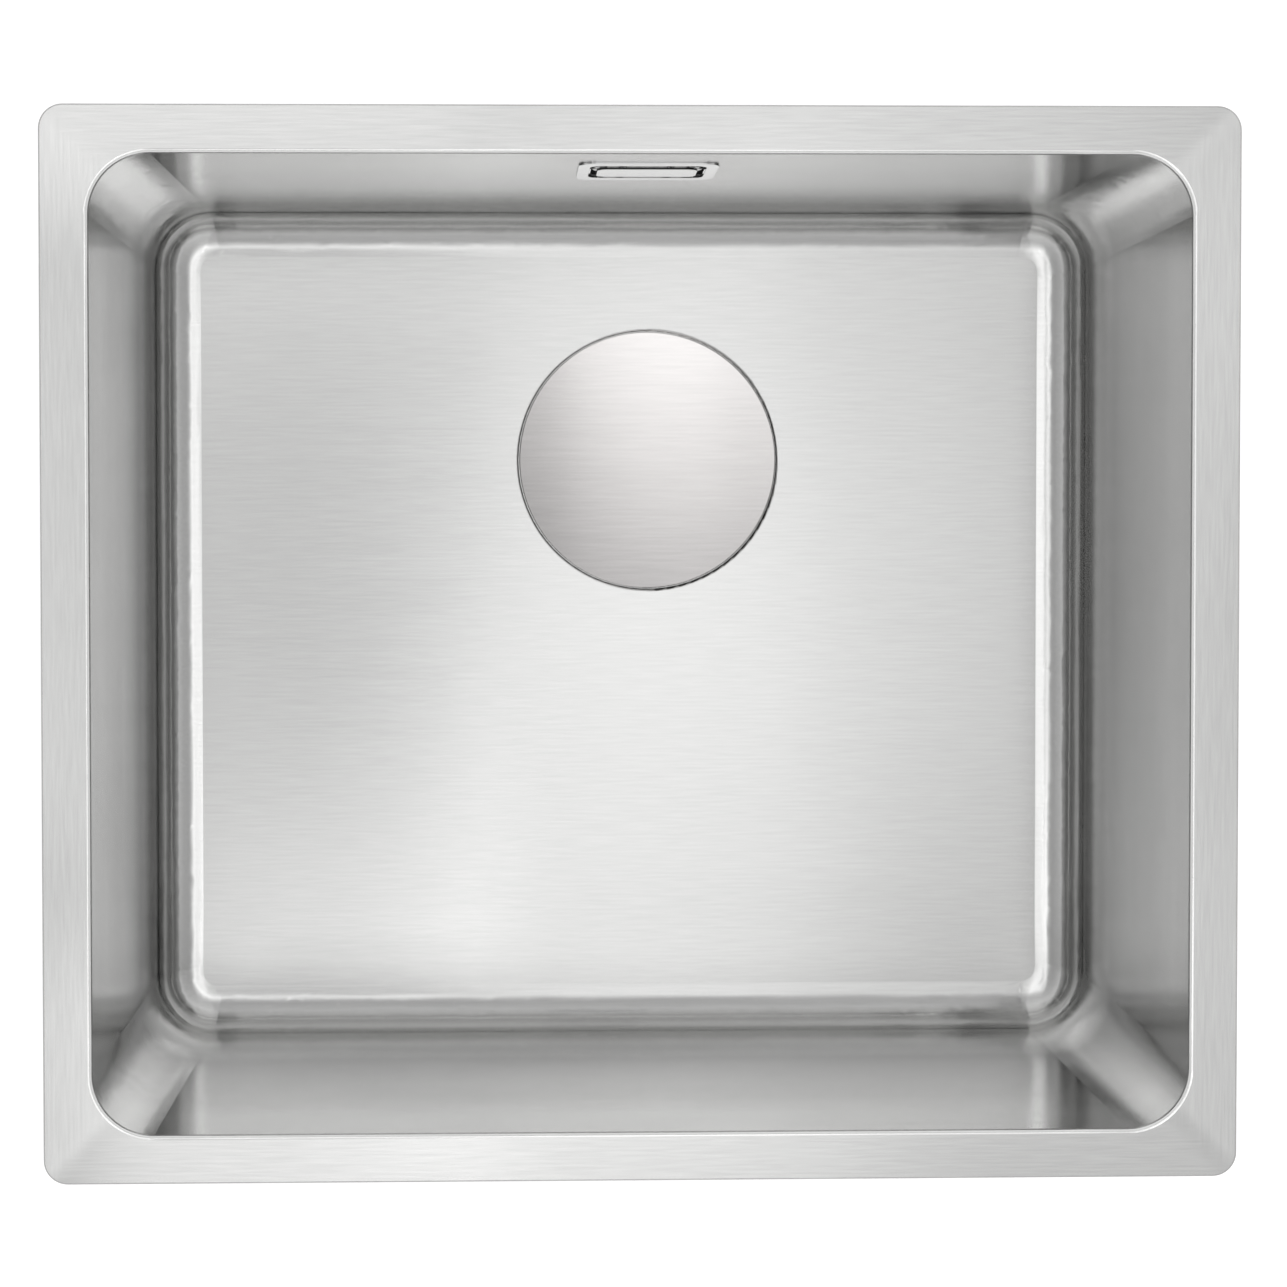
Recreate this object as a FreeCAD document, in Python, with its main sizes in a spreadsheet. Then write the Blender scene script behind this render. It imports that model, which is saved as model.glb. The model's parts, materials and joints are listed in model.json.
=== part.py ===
"""Sit-on kitchen sink: one drawn steel bowl with a flat rim, its basket waste under a round cover,
its overflow, the clips that hold it in a worktop, and the pads and seals that belong to it.

Frame: the worktop's top face is z = 0 and the middle of the rim is the origin. +Z is up, +Y is
towards the wall that has the overflow, +X is to the right of someone who stands at the sink.
Lengths are in millimetres.
"""

import FreeCAD, Part
import Sketcher

import math
import os
import re

Vector = FreeCAD.Vector
Rotation = FreeCAD.Rotation
Placement = FreeCAD.Placement
Rule = Sketcher.Constraint

X_AXIS = Vector(1, 0, 0)
Z_AXIS = Vector(0, 0, 1)

# Driving dimensions, one spreadsheet cell each.
SIZES = {
    # Drawn sheet
    "sheet_t": 1.0,
    "rim_length": 490.0,
    "rim_width": 440.0,
    "rim_ledge": 20.0,
    "rim_corner_r": 10.0,
    "rim_lip": 2.0,
    "rim_edge_r": 0.8,
    "rim_bend_r": 1.0,
    "bowl_depth": 190.0,
    "bowl_taper": 13.2,
    "corner_extra": 6.0,
    "floor_r": 19.0,
    # Air left between two pieces that are glued, pressed or turned together
    "glue_gap": 0.1,
    "fit_gap": 0.05,
    # Seal strip under the rim
    "rim_seal_w": 8.0,
    "rim_seal_inset": 0.4,
    # Recess and hole for the waste
    "drain_x": 12.5,
    "drain_y": 75.0,
    "recess_gap": 3.0,
    "recess_depth": 6.0,
    "recess_bend_r": 0.1,
    "throat_gap": 1.8,
    # Steel flange and cup of the waste
    "flange_seal_t": 1.0,
    "flange_seat": 11.0,
    "flange_t": 1.2,
    "throat_r": 43.0,
    "throat_edge_r": 1.1,
    "cone_drop": 8.2,
    "cone_step": 5.0,
    "cone_bend": 0.48,
    "cup_depth": 43.0,
    "window_r": 7.0,
    "window_ring_r": 24.0,
    # Clamp screw and its threaded insert
    "clamp_r": 3.0,
    "clamp_head_r": 5.5,
    "clamp_head_h": 4.0,
    "clamp_length": 30.0,
    "clamp_key_w": 5.0,
    "clamp_key_depth": 2.4,
    "insert_wall": 2.5,
    "insert_h": 14.0,
    # Moulded body of the waste
    "lower_seal_t": 3.0,
    "body_seat": 10.0,
    "body_flange_t": 5.0,
    "body_gap": 1.3,
    "body_wall": 3.0,
    "cup_room": 4.0,
    "funnel_drop": 7.0,
    "funnel_wall": 2.1,
    "outlet_bore_r": 20.0,
    "outlet_wall": 3.9,
    "outlet_length": 36.0,
    "hub_wall": 3.0,
    "rib_t": 3.0,
    "port_drop": 24.0,
    "port_reach": 72.0,
    # Strainer basket, its rubber stopper and its knob
    "basket_room": 5.0,
    "basket_t": 0.8,
    "basket_rim_gap": 2.0,
    "basket_rise": 0.2,
    "basket_depth": 28.2,
    "basket_hole_r": 2.0,
    "basket_ring_r": 13.0,
    "basket_ring_step": 11.0,
    "stopper_edge": 0.6,
    "stopper_gap": 0.42,
    "stopper_h": 4.6,
    "knob_r": 9.0,
    "knob_h": 6.0,
    "knob_round_r": 1.5,
    "stem_r": 4.0,
    "rivet_r": 3.0,
    "rivet_foot_r": 6.0,
    "rivet_foot_h": 1.6,
    # Round cover over the waste
    "cover_gap": 0.6,
    "cover_t": 1.2,
    "cover_rise": 0.5,
    "cover_skirt": 2.5,
    "cover_edge_r": 0.4,
    "socket_wall": 3.7,
    "socket_gap": 0.3,
    "socket_t": 2.0,
    # Overflow: hole, frame and loose cover
    "overflow_x": 4.0,
    "overflow_drop": 44.0,
    "overflow_hole_w": 52.0,
    "overflow_hole_h": 36.0,
    "overflow_hole_r": 7.0,
    "frame_lap_w": 3.25,
    "frame_lap_h": 4.0,
    "frame_r": 7.0,
    "frame_t": 0.7,
    "plate_edge_r": 0.15,
    "slot_inset": 1.75,
    "slot_r": 5.0,
    "bridge_gap": 0.3,
    "bridge_h": 12.0,
    "bridge_t": 2.0,
    "bridge_depth": 4.0,
    "lid_gap_w": 3.25,
    "lid_gap_low": 3.5,
    "lid_gap_top": 9.5,
    "lid_r": 4.0,
    "lid_t": 0.7,
    "lid_lift": 0.1,
    "peg_r": 1.6,
    "peg_x": 10.0,
    "peg_length": 5.0,
    "screw_inset": 4.25,
    "screw_r": 2.0,
    "screw_head_r": 3.4,
    "screw_head_h": 1.8,
    "screw_short": 0.5,
    "screw_slot_w": 0.9,
    # Overflow: seal and moulded body behind the wall
    "overflow_seal_t": 2.0,
    "back_lap": 6.0,
    "back_flange_r": 8.0,
    "back_flange_t": 2.0,
    "back_room": 3.0,
    "back_wall": 2.0,
    "back_rise": 1.0,
    "back_fall": 3.0,
    "back_shallow": 10.5,
    "back_bend_y": 8.0,
    "back_deep_y": -6.0,
    "boss_r": 4.5,
    "boss_h": 7.5,
    # Overflow pipe and its slip nuts
    "pipe_back": 13.5,
    "pipe_r": 8.5,
    "pipe_wall": 1.5,
    "pipe_bend_r": 28.0,
    "spigot_length": 14.0,
    "joint_gap": 0.3,
    "pipe_nut_wall": 1.4,
    "pipe_nut_h": 16.0,
    "pipe_nut_grip": 0.4,
    "pipe_nut_grip_w": 2.1,
    "pipe_nut_grip_h": 12.8,
    "pipe_seal_t": 1.7,
    "pipe_seal_h": 4.6,
    # Clips that pull the rim down on a worktop
    "clip_end_inset": 95.0,
    "clip_side_inset": 100.0,
    "clip_width": 16.0,
    "bracket_top": 8.0,
    "bracket_leg": 16.0,
    "bracket_t": 2.0,
    "bracket_margin": 1.0,
    "stud_out": 6.0,
    "stud_r": 2.5,
    "stud_head_lip": 0.9,
    "stud_head_h": 2.0,
    "stud_spare": 12.0,
    "worktop_t": 38.0,
    "claw_tooth": 5.0,
    "claw_tooth_w": 2.5,
    "claw_t": 2.5,
    "claw_in": 0.5,
    "claw_out": 18.0,
    "claw_bend_r": 1.5,
    "nut_wall": 1.5,
    "nut_h": 4.5,
    # Sound pads glued to the outside
    "pad_t": 2.0,
    "pad_length": 100.0,
    "pad_width": 240.0,
    "pad_edge": 6.0,
    "front_pad_length": 116.0,
    "front_pad_width": 120.0,
    "front_pad_gap": 10.0,
    "side_pad_top": 62.0,
    "side_pad_h": 88.0,
    "side_pad_length": 150.0,
    "front_wall_pad_length": 190.0,
}

# Named formulas, spelled out in spreadsheet cells wherever a feature uses them.
FORMULAS = {
    "bowl_length": "rim_length - 2 * rim_ledge",
    "bowl_width": "rim_width - 2 * rim_ledge",
    "bowl_corner_r": "floor_r + corner_extra",
    "rim_roll_r": "rim_bend_r + sheet_t",
    "wall_slope": "bowl_taper / bowl_depth",
    "wall_angle": "atan(wall_slope)",
    "wall_stretch": "sqrt(1 + wall_slope ^ 2)",
    "floor_z": "rim_lip - bowl_depth",
    "under_z": "floor_z - sheet_t",
    "floor_reach": "bowl_length / 2 - bowl_taper - floor_r",
    "seat_z": "floor_z - recess_depth",
    "drain_hole_r": "throat_r + flange_t + throat_gap",
    "flange_r": "drain_hole_r + flange_seat",
    "recess_r": "flange_r + recess_gap",
    "recess_edge_r": "recess_bend_r + sheet_t",
    "cover_r": "recess_r - cover_gap",
    "cone_low_r": "throat_r - cone_step",
    "flange_low_z": "seat_z + flange_seal_t",
    "flange_top_z": "flange_low_z + flange_t",
    "cone_top_z": "flange_top_z - cone_drop",
    "cone_low_z": "cone_top_z - (throat_r - cone_low_r)",
    "cup_floor_z": "flange_top_z - cup_depth",
    "cup_low_z": "cup_floor_z - flange_t",
    "body_top_z": "seat_z - sheet_t - lower_seal_t",
    "body_flange_r": "drain_hole_r + body_seat",
    "body_bore_r": "throat_r + flange_t + body_gap",
    "knee_z": "cup_low_z - cup_room",
    "outlet_top_z": "knee_z - funnel_drop",
    "outlet_end_z": "outlet_top_z - outlet_length",
    "outlet_r": "outlet_bore_r + outlet_wall",
    "insert_r": "clamp_r + insert_wall",
    "hub_r": "insert_r + hub_wall",
    "port_z": "seat_z - sheet_t - port_drop",
    "basket_r": "cone_low_r - basket_room",
    "basket_rim_r": "throat_r - basket_rim_gap",
    "stopper_r": "throat_r - stopper_edge",
    "basket_rim_z": "cone_top_z + basket_rise",
    "basket_low_z": "basket_rim_z - basket_depth",
    "cover_top_z": "floor_z + cover_rise",
    "cover_low_z": "cover_top_z - cover_t",
    "knob_top_z": "cover_low_z - socket_t - socket_gap",
    "socket_bore_r": "knob_r + socket_gap",
    "socket_r": "socket_bore_r + socket_wall",
    "socket_depth": "knob_h + socket_gap",
    "overflow_z": "rim_lip - overflow_drop",
    "overflow_y": "bowl_width / 2 - wall_slope * overflow_drop",
    "frame_w": "overflow_hole_w + 2 * frame_lap_w",
    "frame_h": "overflow_hole_h + 2 * frame_lap_h",
    "slot_w": "overflow_hole_w - 2 * slot_inset",
    "slot_h": "overflow_hole_h - 2 * slot_inset",
    "bridge_w": "overflow_hole_w - 2 * bridge_gap",
    "lid_w": "slot_w - 2 * lid_gap_w",
    "lid_h": "slot_h - lid_gap_low - lid_gap_top",
    "lid_y": "(lid_gap_low - lid_gap_top) / 2",
    "screw_x": "slot_w / 2 - screw_inset",
    "screw_seat_z": "bridge_t - bridge_depth",
    "screw_end_z": "back_front_z - back_flange_t - boss_h + screw_short",
    "back_front_z": "0 - sheet_t - overflow_seal_t",
    "back_flange_w": "overflow_hole_w + 2 * back_lap",
    "back_flange_h": "overflow_hole_h + 2 * back_lap",
    "back_w": "overflow_hole_w + 2 * back_room",
    "back_top": "overflow_hole_h / 2 + back_rise",
    "back_bottom": "overflow_hole_h / 2 + back_fall",
    "back_deep": "pipe_back + pipe_r + back_wall",
    "spigot_end_y": "0 - back_bottom - spigot_length",
    "pipe_bore_r": "pipe_r - pipe_wall",
    "pipe_seal_r": "pipe_r + pipe_seal_t",
    "pipe_nut_r": "pipe_seal_r + pipe_nut_wall",
    "pipe_y": "bowl_width / 2 - wall_slope * (rim_lip - port_z) + pipe_back * wall_stretch",
    "port_turn": "atan((drain_x - overflow_x) / (pipe_y - drain_y))",
    "claw_top_z": "0 - worktop_t - claw_tooth",
    "claw_low_z": "claw_top_z - claw_t",
    "clip_end_x": "bowl_length / 2 - clip_end_inset",
    "clip_side_y": "bowl_width / 2 - clip_side_inset",
    "bracket_reach": "stud_out + stud_r + bracket_margin",
    "stud_head_r": "stud_r + stud_head_lip",
    "stud_end_z": "claw_low_z - nut_h - stud_spare",
    "stud_length": "0 - bracket_top - (stud_end_z)",
    "nut_flats": "2 * (stud_r + nut_wall)",
}

WINDOWS = 6
BASKET_RINGS = (8, 16)
BASKET_WALL_HOLES = 20
BASKET_WALL_ROWS = (0.35, 0.6, 0.85)
HUB_RIBS = 3
NUT_GRIPS = 12
HEX_CORNER = 1 / math.sqrt(3)

doc = FreeCAD.newDocument("sink")
sheet = doc.addObject("Spreadsheet::Sheet", "dims")
nodes = []


def fill_sheet():
    """One row for each driving dimension: its name and its number."""
    for row, (name, size) in enumerate(SIZES.items(), start=1):
        sheet.set(f"A{row}", name)
        sheet.set(f"B{row}", str(size))
        sheet.setAlias(f"B{row}", name)
    doc.recompute()


def formula(text):
    """The text with every named size written as its cell and every named formula spelled out."""

    def spell(match):
        word = match.group(0)
        if word in SIZES:
            return "dims." + word
        if word in FORMULAS:
            return "(" + formula(FORMULAS[word]) + ")"
        return word

    return re.sub(r"[a-z_][a-z_0-9]*", spell, str(text))


def number(text):
    """The value of a formula now."""
    found = sheet.evalExpression(formula(text))
    return float(getattr(found, "Value", found))


def bind(thing, prop, text):
    thing.setExpression(prop, formula(text))


def new_body(label, x="0", y="0", z="0", axis=Z_AXIS, turn=None):
    """An empty body at a place given by three formulas, turned about an axis by a fourth."""
    body = doc.addObject("PartDesign::Body", label)
    body.Label = label
    if turn is not None:
        body.Placement = Placement(Vector(), Rotation(axis, number(turn)))
        bind(body, "Placement.Rotation.Angle", turn)
    for way, text in zip("xyz", (x, y, z)):
        bind(body, f"Placement.Base.{way}", text)
    nodes.append(body)
    return body


def drain_body(label, turn=None):
    """An empty body on the waste's upright axis."""
    return new_body(label, "drain_x", "drain_y", "0", Z_AXIS, turn)


def overflow_body(label, x="0"):
    """An empty body on the back wall: its XY plane is the wall's face and +Z comes out of it."""
    return new_body(label, f"overflow_x + {x}", "overflow_y", "overflow_z", X_AXIS, "90 deg - wall_angle")


def origin_part(body, role):
    return next(part for part in body.Origin.OriginFeatures if part.Role == role)


def new_sketch(body, name, plane="XY_Plane", offset="0"):
    """A sketch on one of the body's own planes, moved along its normal by a formula."""
    sketch = body.newObject("Sketcher::SketchObject", f"{body.Name}_{name}")
    sketch.AttachmentSupport = [(origin_part(body, plane), "")]
    sketch.MapMode = "FlatFace"
    bind(sketch, "AttachmentOffset.Base.z", offset)
    sketch.Visibility = False
    return sketch


def fix(sketch, kind, *where, to):
    """Add a dimension to a sketch and bind it to a formula."""
    index = sketch.addConstraint(Rule(kind, *where, number(to)))
    bind(sketch, f"Constraints[{index}]", to)


def fix_point(sketch, edge, end, x, y):
    for kind, axis, text in (("DistanceX", -2, x), ("DistanceY", -1, y)):
        if text == "0":
            sketch.addConstraint(Rule("PointOnObject", edge, end, axis))
        else:
            fix(sketch, kind, -1, 1, edge, end, to=text)


def draw_polygon(sketch, points):
    """A closed outline of straight edges, with each corner at two formulas."""
    corners = [Vector(number(x), number(y), 0) for x, y in points]
    first = sketch.GeometryCount
    for start, end in zip(corners, corners[1:] + corners[:1]):
        sketch.addGeometry(Part.LineSegment(start, end), False)
    for i, (x, y) in enumerate(points):
        before = first + (i - 1) % len(points)
        sketch.addConstraint(Rule("Coincident", before, 2, first + i, 1))
        fix_point(sketch, first + i, 1, x, y)


def draw_circle(sketch, radius, x="0", y="0"):
    middle = Vector(number(x), number(y), 0)
    edge = sketch.addGeometry(Part.Circle(middle, Z_AXIS, number(radius)), False)
    fix_point(sketch, edge, 3, x, y)
    fix(sketch, "Radius", edge, to=radius)


def draw_box(sketch, length, width, x="0", y="0"):
    """A rectangle centred on a point."""
    sides = ((1, -1), (1, 1), (-1, 1), (-1, -1))
    corners = [(f"{x} + {a} * ({length}) / 2", f"{y} + {b} * ({width}) / 2") for a, b in sides]
    draw_polygon(sketch, corners)


def draw_rounded_box(sketch, length, width, radius, x="0", y="0"):
    """A rectangle with round corners, centred on a point."""
    reach_x = number(length) / 2 - number(radius)
    reach_y = number(width) / 2 - number(radius)
    middle = Vector(number(x), number(y), 0)
    first = sketch.GeometryCount
    for turn, (side_x, side_y) in enumerate(((1, -1), (1, 1), (-1, 1), (-1, -1))):
        centre = middle + Vector(side_x * reach_x, side_y * reach_y, 0)
        start = math.radians(90 * turn - 90)
        circle = Part.Circle(centre, Z_AXIS, number(radius))
        sketch.addGeometry(Part.ArcOfCircle(circle, start, start + math.pi / 2), False)
    for i, way in enumerate(("Vertical", "Horizontal", "Vertical", "Horizontal")):
        arc, after = first + i, first + (i + 1) % 4
        run = Part.LineSegment(sketch.getPoint(arc, 2), sketch.getPoint(after, 1))
        side = sketch.addGeometry(run, False)
        sketch.addConstraint(Rule("Tangent", arc, 2, side, 1))
        sketch.addConstraint(Rule("Tangent", side, 2, after, 1))
        sketch.addConstraint(Rule(way, side))
        if i:
            sketch.addConstraint(Rule("Equal", first, arc))
    right, top, left, bottom = (first + 4 + i for i in range(4))
    fix(sketch, "Radius", first, to=radius)
    fix(sketch, "DistanceX", -1, 1, right, 1, to=f"({x}) + ({length}) / 2")
    fix(sketch, "DistanceX", left, 1, right, 1, to=length)
    fix(sketch, "DistanceY", -1, 1, top, 1, to=f"({y}) + ({width}) / 2")
    fix(sketch, "DistanceY", bottom, 1, top, 1, to=width)


def extrude(body, kind, sketch, length, reverse=False, midplane=False):
    """A Pad or a Pocket of a sketch."""
    made = body.newObject(f"PartDesign::{kind}", f"{sketch.Name}_{kind}")
    made.Profile = sketch
    bind(made, "Length", length)
    made.Reversed = reverse
    made.Midplane = midplane
    return made


def revolve(body, name, points):
    """A solid turned about the body's Z axis from an outline of (radius, height) formulas."""
    sketch = new_sketch(body, name, "XZ_Plane")
    draw_polygon(sketch, points)
    made = body.newObject("PartDesign::Revolution", f"{sketch.Name}_turn")
    made.Profile = sketch
    made.ReferenceAxis = (sketch, ["V_Axis"])
    made.Angle = 360
    return made


def repeat_round(body, feature, count):
    """Copies of a feature about the body's Z axis."""
    made = body.newObject("PartDesign::PolarPattern", f"{feature.Name}_ring")
    made.Originals = [feature]
    made.Axis = (origin_part(body, "Z_Axis"), [""])
    made.Angle = 360
    made.Occurrences = count
    body.Tip = made
    return made


def loft(body, sketches):
    """A straight-sided solid between outlines."""
    made = body.newObject("PartDesign::AdditiveLoft", f"{sketches[0].Name}_loft")
    made.Profile = sketches[0]
    made.Sections = sketches[1:]
    made.Ruled = True
    return made


def round_edges(body, radius, chosen):
    """Round the edges of the body's last feature that a test chooses."""
    doc.recompute()
    base = body.Tip
    names = [f"Edge{i}" for i, edge in enumerate(base.Shape.Edges, start=1) if chosen(edge)]
    made = body.newObject("PartDesign::Fillet", f"{base.Name}_round")
    made.Base = (base, names)
    bind(made, "Radius", radius)
    return made


def spots(edge):
    """The edge's two ends and its middle."""
    first, last = edge.ParameterRange
    return [edge.valueAt(first + (last - first) * part) for part in (0, 0.5, 1)]


def level(edge, z):
    """Whether the whole edge lies at a height."""
    return all(abs(spot.z - z) < 1e-4 for spot in spots(edge))


def within(edge, length, width):
    """Whether the edge lies inside a rectangle about the origin."""
    slack = 1e-3
    reach = [(abs(spot.x), abs(spot.y)) for spot in spots(edge)]
    return all(x <= length / 2 + slack and y <= width / 2 + slack for x, y in reach)


def on_circle(edge, radius, z):
    """Whether the edge is a circle of that radius about the Z axis at that height."""
    return level(edge, z) and all(abs(math.hypot(p.x, p.y) - radius) < 1e-4 for p in spots(edge))


def make_ring(body, inner, outer, low, height):
    """A flat ring about the body's Z axis."""
    sketch = new_sketch(body, "ring", offset=low)
    draw_circle(sketch, outer)
    draw_circle(sketch, inner)
    extrude(body, "Pad", sketch, height)
    return body


def bowl_outline(body, name, depth, grow):
    """The bowl's outline at a depth below the rim's face, grown outward by a formula."""
    sketch = new_sketch(body, name, offset=f"rim_lip - ({depth})")
    change = f"2 * ({grow}) - 2 * wall_slope * ({depth})"
    length = f"bowl_length + {change}"
    width = f"bowl_width + {change}"
    draw_rounded_box(sketch, length, width, f"bowl_corner_r + {grow}")
    return sketch


def make_bowl_cavity():
    """The space inside the bowl."""
    body = new_body("bowl_cavity")
    nodes.remove(body)
    loft(body, [bowl_outline(body, "mouth", "0", "0"), bowl_outline(body, "floor", "bowl_depth", "0")])
    floor = number("floor_z")
    round_edges(body, "floor_r", lambda edge: level(edge, floor))
    return body


def make_sink_shell():
    """The rim, the tapered bowl and the drain recess, drawn from one sheet."""
    body = new_body("sink_shell")
    top = number("rim_lip")
    under = number("under_z")
    mouth = number("bowl_length"), number("bowl_width")

    rim = new_sketch(body, "rim")
    draw_rounded_box(rim, "rim_length", "rim_width", "rim_corner_r")
    extrude(body, "Pad", rim, "rim_lip")
    round_edges(body, "rim_edge_r", lambda edge: level(edge, top))
    hollow = new_sketch(body, "rim_hollow")
    inside = "rim_corner_r - sheet_t"
    draw_rounded_box(hollow, "rim_length - 2 * sheet_t", "rim_width - 2 * sheet_t", inside)
    extrude(body, "Pocket", hollow, "rim_lip - sheet_t", reverse=True)

    upper = bowl_outline(body, "outer_mouth", "sheet_t / 2", "sheet_t")
    lower = bowl_outline(body, "outer_floor", "bowl_depth + sheet_t", "sheet_t")
    loft(body, [upper, lower])
    round_edges(body, "floor_r + sheet_t", lambda edge: level(edge, under))
    bend = number("rim_lip - sheet_t")
    wall = number("bowl_length + 3 * sheet_t"), number("bowl_width + 3 * sheet_t")
    round_edges(body, "rim_bend_r", lambda edge: level(edge, bend) and within(edge, *wall))
    cut = body.newObject("PartDesign::Boolean", "bowl_cut")
    cut.Type = "Cut"
    cut.Group = [make_bowl_cavity()]
    round_edges(body, "rim_roll_r", lambda edge: level(edge, top) and within(edge, *mouth))

    boss = new_sketch(body, "recess_boss", offset="seat_z - sheet_t")
    draw_circle(boss, "recess_r + sheet_t", "drain_x", "drain_y")
    extrude(body, "Pad", boss, "recess_depth + sheet_t / 2")
    recess = new_sketch(body, "recess", offset="floor_z")
    draw_circle(recess, "recess_r", "drain_x", "drain_y")
    extrude(body, "Pocket", recess, "recess_depth")
    hole = new_sketch(body, "drain_hole", offset="floor_z")
    draw_circle(hole, "drain_hole_r", "drain_x", "drain_y")
    extrude(body, "Pocket", hole, "recess_depth + 2 * sheet_t")
    floor = number("floor_z")
    middle = Vector(number("drain_x"), number("drain_y"), floor)
    reach = number("recess_r")
    brink = lambda edge: level(edge, floor) and all(
        abs(spot.distanceToPoint(middle) - reach) < 1e-3 for spot in spots(edge)
    )
    round_edges(body, "recess_edge_r", brink)

    slot = new_sketch(body, "overflow_hole", "XZ_Plane", "0 - bowl_width / 4")
    draw_rounded_box(
        slot, "overflow_hole_w", "overflow_hole_h", "overflow_hole_r", "overflow_x", "overflow_z"
    )
    extrude(body, "Pocket", slot, "bowl_width / 2")
    return body


def make_rim_seal():
    """The strip that lies in the hollow under the rim."""
    body = new_body("rim_seal")
    sketch = new_sketch(body, "strip")
    inset = "2 * (sheet_t + rim_seal_inset)"
    radius = "rim_corner_r - sheet_t - rim_seal_inset"
    draw_rounded_box(sketch, f"rim_length - {inset}", f"rim_width - {inset}", radius)
    inner = f"{inset} + 2 * rim_seal_w"
    draw_rounded_box(sketch, f"rim_length - ({inner})", f"rim_width - ({inner})", radius)
    extrude(body, "Pad", sketch, "rim_lip - sheet_t")


def make_waste_flange():
    """The steel flange in the recess, with the cup that hangs from it."""
    body = drain_body("waste_flange")
    outline = [
        ("flange_r", "flange_low_z"),
        ("flange_r", "flange_top_z"),
        ("throat_r", "flange_top_z"),
        ("throat_r", "cone_top_z"),
        ("cone_low_r", "cone_low_z"),
        ("cone_low_r", "cup_floor_z"),
        ("clamp_r + fit_gap", "cup_floor_z"),
        ("clamp_r + fit_gap", "cup_low_z"),
        ("cone_low_r + flange_t", "cup_low_z"),
        ("cone_low_r + flange_t", "cone_low_z - cone_bend"),
        ("throat_r + flange_t", "cone_top_z - cone_bend"),
        ("throat_r + flange_t", "flange_low_z"),
    ]
    revolve(body, "section", outline)
    throat = number("throat_r"), number("flange_top_z")
    rim = number("flange_r"), number("flange_top_z")
    round_edges(body, "throat_edge_r", lambda edge: on_circle(edge, *throat))
    round_edges(body, "flange_t / 2", lambda edge: on_circle(edge, *rim))
    sketch = new_sketch(body, "window", offset="cup_floor_z")
    draw_circle(sketch, "window_r", "window_ring_r")
    window = extrude(body, "Pocket", sketch, "2 * flange_t")
    repeat_round(body, window, WINDOWS)


def make_clamp_screw():
    """The screw that draws the waste's two halves together."""
    body = drain_body("clamp_screw")
    head = "cup_floor_z + clamp_head_h"
    tip = "cup_floor_z - clamp_length"
    outline = [
        ("0", head),
        ("clamp_head_r", head),
        ("clamp_head_r", "cup_floor_z"),
        ("clamp_r", "cup_floor_z"),
        ("clamp_r", f"{tip} + clamp_r / 3"),
        ("clamp_r * 2 / 3", tip),
        ("0", tip),
    ]
    revolve(body, "section", outline)
    key = new_sketch(body, "key", offset=head)
    draw_polygon(key, hexagon("clamp_key_w"))
    extrude(body, "Pocket", key, "clamp_key_depth")


def hexagon(flats):
    """The corners of a hexagon with a given width across its flats."""
    side = f"({flats}) / 2"
    peak = f"({flats}) * {HEX_CORNER}"
    half = f"({peak}) / 2"
    right = [(side, f"0 - ({half})"), (side, half), ("0", peak)]
    left = [(f"0 - {side}", half), (f"0 - {side}", f"0 - ({half})"), ("0", f"0 - ({peak})")]
    return right + left


def make_waste_body():
    """The moulded cup under the sink with its outlet, its screw hub and its overflow port."""
    body = drain_body("waste_body", turn="port_turn")
    skin = "body_bore_r + body_wall"
    outline = [
        ("body_bore_r", "body_top_z"),
        ("body_flange_r", "body_top_z"),
        ("body_flange_r", "body_top_z - body_flange_t"),
        (skin, "body_top_z - body_flange_t"),
        (skin, "knee_z - funnel_wall"),
        ("outlet_r", "outlet_top_z - funnel_wall"),
        ("outlet_r", "outlet_end_z"),
        ("outlet_bore_r", "outlet_end_z"),
        ("outlet_bore_r", "outlet_top_z"),
        ("body_bore_r", "knee_z"),
    ]
    revolve(body, "section", outline)

    rib = new_sketch(body, "rib", offset="outlet_top_z")
    span = "outlet_bore_r - insert_r + body_wall / 2"
    draw_box(rib, "rib_t", span, "0", "(outlet_bore_r + insert_r) / 2")
    first_rib = extrude(body, "Pad", rib, "insert_h + body_wall", reverse=True)
    repeat_round(body, first_rib, HUB_RIBS)
    hub = new_sketch(body, "hub", offset="outlet_top_z")
    draw_circle(hub, "hub_r")
    extrude(body, "Pad", hub, "insert_h + body_wall", reverse=True)
    seat = new_sketch(body, "insert_seat", offset="outlet_top_z")
    draw_circle(seat, "insert_r + fit_gap")
    extrude(body, "Pocket", seat, "insert_h + 2 * body_wall")

    port = new_sketch(body, "port", "XZ_Plane", "0 - body_bore_r - body_wall / 2")
    draw_circle(port, "pipe_r", "0", "port_z")
    extrude(body, "Pad", port, "port_reach - body_bore_r - body_wall / 2", reverse=True)
    bore = new_sketch(body, "port_bore", "XZ_Plane", "0 - port_reach")
    draw_circle(bore, "pipe_bore_r", "0", "port_z")
    extrude(body, "Pocket", bore, "port_reach - body_bore_r + 2 * body_wall", reverse=True)


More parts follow.
